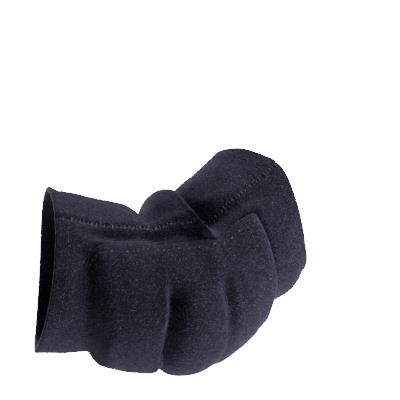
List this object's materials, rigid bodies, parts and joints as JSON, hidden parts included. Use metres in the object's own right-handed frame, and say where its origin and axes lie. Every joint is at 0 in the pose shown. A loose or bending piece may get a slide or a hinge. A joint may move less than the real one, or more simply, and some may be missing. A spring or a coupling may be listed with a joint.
{
  "type": "elbow pad",
  "caption": "Knitted elbow sleeve, shown bent, with a padded dome of foam cells parted by sewn channels over the point of the elbow.",
  "frame": {"origin": "centre of the elbow's hinge axis, inside the sleeve", "axes": "the upper arm lies along -X, +Y is across the arm along the hinge axis, +Z points to the inner side of the upper arm; the forearm rises 70 degrees from +X towards +Z"},
  "size_m": [0.173, 0.109, 0.1565],
  "materials": {
    "knit": "brushed stretch knit, very dark navy with a purple cast and fine pale flecks",
    "lining": "plain fine knit lining, near black",
    "foam": "closed-cell foam, dark grey, hidden inside the cover",
    "elastic": "woven flat elastic, near black, hidden inside the hems",
    "thread": "twisted sewing thread, dark purple grey"
  },
  "bodies": {
    "upper_arm": {"inner_panel_upper": "knit", "outer_panel_upper": "knit", "side_seam_upper": "thread", "hem_upper": "knit", "elastic_upper": "elastic", "channel_seam_upper": "thread", "pad_cover_upper": "knit", "foam_cell_upper": "foam", "pad_lining_upper": "lining", "elbow_fold": "knit", "pad_cover_elbow": "knit", "foam_cell_elbow": "foam", "pad_lining_elbow": "lining"},
    "forearm": {"inner_panel_forearm": "knit", "outer_panel_forearm": "knit", "side_seam_forearm": "thread", "hem_forearm": "knit", "elastic_forearm": "elastic", "channel_seam_forearm": "thread", "pad_cover_forearm": "knit", "foam_cell_forearm": "foam", "pad_lining_forearm": "lining"}
  },
  "joints": [
    {"name": "elbow_flex", "type": "hinge", "parent": "upper_arm", "child": "forearm", "pos_m": [0, 0, 0], "axis": [0, -1, 0], "range_deg": [-70, 20], "stiffness_Nm_per_rad": 1, "deforming": ["elbow_fold", "pad_cover_elbow", "foam_cell_elbow", "pad_lining_elbow"]}
  ]
}
